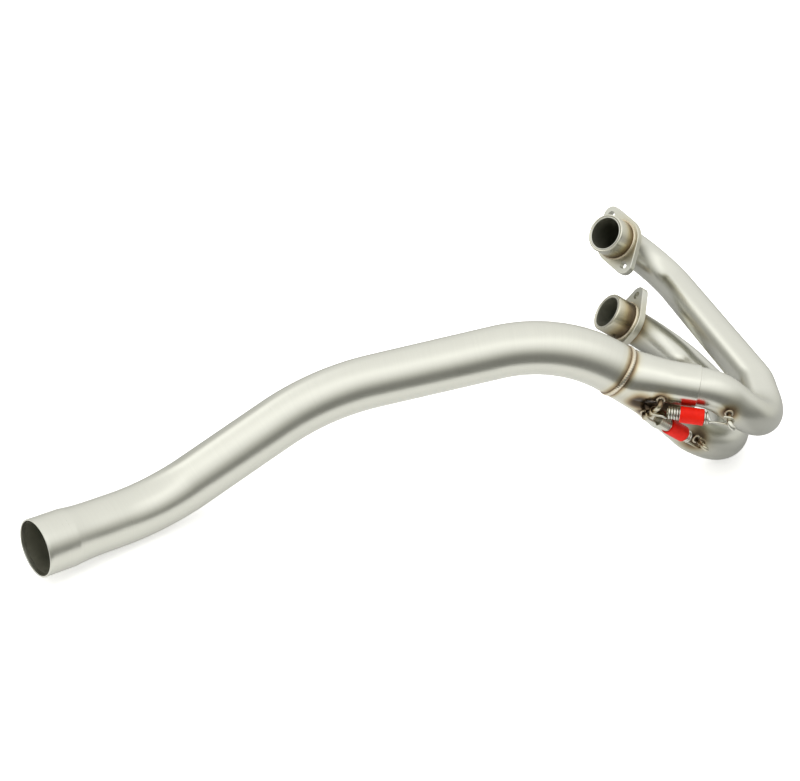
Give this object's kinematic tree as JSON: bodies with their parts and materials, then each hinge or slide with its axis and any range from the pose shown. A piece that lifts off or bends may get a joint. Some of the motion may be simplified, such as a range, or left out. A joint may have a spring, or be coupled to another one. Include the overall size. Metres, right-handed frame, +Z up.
{
  "type": "exhaust head pipe",
  "caption": "Two-into-one motorcycle exhaust head pipe in brushed steel: bolt-on port flanges, curved header tubes held in a forked collector by sleeved springs, and a bent slip-fit tail.",
  "frame": {"origin": "on the table, under the middle of the part's box, as the part lies at rest", "axes": "+X along the tail pipe's long run towards the engine end, +Y away from the viewer's side, +Z up"},
  "size_m": [0.739, 0.4599, 0.1786],
  "materials": {
    "brushed_tube": "satin brushed stainless, heat tinted near the welds",
    "formed_steel": "satin stainless, heat tinted near the welds",
    "turned_steel": "turned stainless with a straw heat tint",
    "plate_steel": "satin stainless plate",
    "weld_bead": "rippled weld bead with straw to brown tint",
    "hook_rod": "bright rod, browned by welding",
    "spring_wire": "bright drawn spring wire",
    "red_sleeve": "smooth red silicone"
  },
  "bodies": {
    "root": {"tail_pipe": "brushed_tube", "far_head_pipe": "brushed_tube", "near_head_pipe": "brushed_tube", "collector": "formed_steel", "tail_weld": "weld_bead", "far_collar_weld": "weld_bead", "near_collar_weld": "weld_bead", "far_rod_weld": "weld_bead", "near_rod_weld": "weld_bead", "far_hook_weld": "weld_bead", "near_hook_weld": "weld_bead", "far_port_collar": "turned_steel", "near_port_collar": "turned_steel", "far_port_flange": "plate_steel", "near_port_flange": "plate_steel", "collector_hook": "hook_rod", "far_pipe_hook": "hook_rod", "near_pipe_hook": "hook_rod", "far_spring": "spring_wire", "near_spring": "spring_wire", "far_spring_sleeve": "red_sleeve", "near_spring_sleeve": "red_sleeve"}
  },
  "joints": []
}
